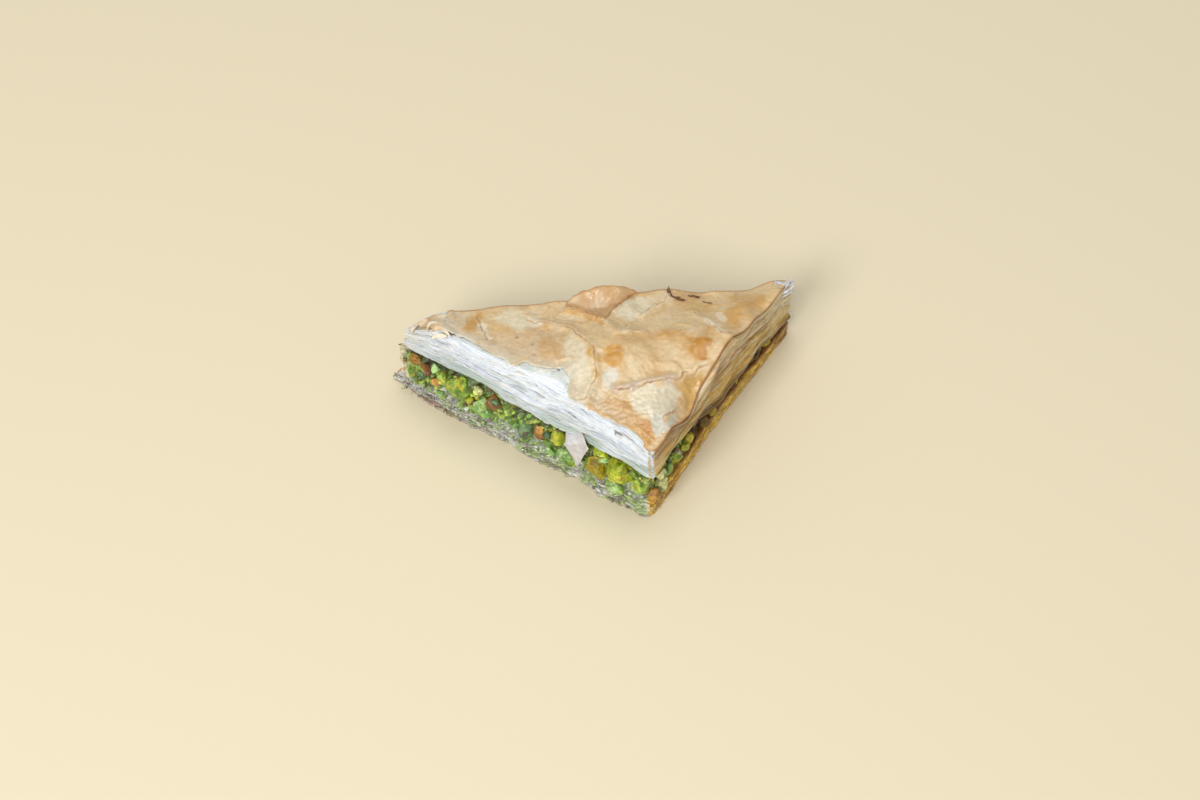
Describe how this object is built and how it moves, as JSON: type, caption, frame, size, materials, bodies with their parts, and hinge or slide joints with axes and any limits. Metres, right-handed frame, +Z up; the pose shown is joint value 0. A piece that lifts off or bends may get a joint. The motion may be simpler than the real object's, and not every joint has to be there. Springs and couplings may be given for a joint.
{
  "type": "baklava piece",
  "caption": "Triangular piece of layered pastry: a thick stack of crisp browned phyllo leaves over a chopped pistachio filling and a thin syrup-soaked phyllo base.",
  "frame": {"origin": "middle of the footprint's bounding box, on the flat underside", "axes": "+X along the long diagonal cut edge, from the blunt left tip to the frayed right tip; -Y towards the square corner; +Z up through the layers"},
  "size_m": [0.1206, 0.0642, 0.0371],
  "materials": {
    "phyllo_top": "satin",
    "pistachio_filling": "satin",
    "phyllo_base": "gloss"
  },
  "bodies": {
    "root": {"phyllo_top": "phyllo_top", "pistachio_filling": "pistachio_filling", "phyllo_base": "phyllo_base"}
  },
  "joints": []
}
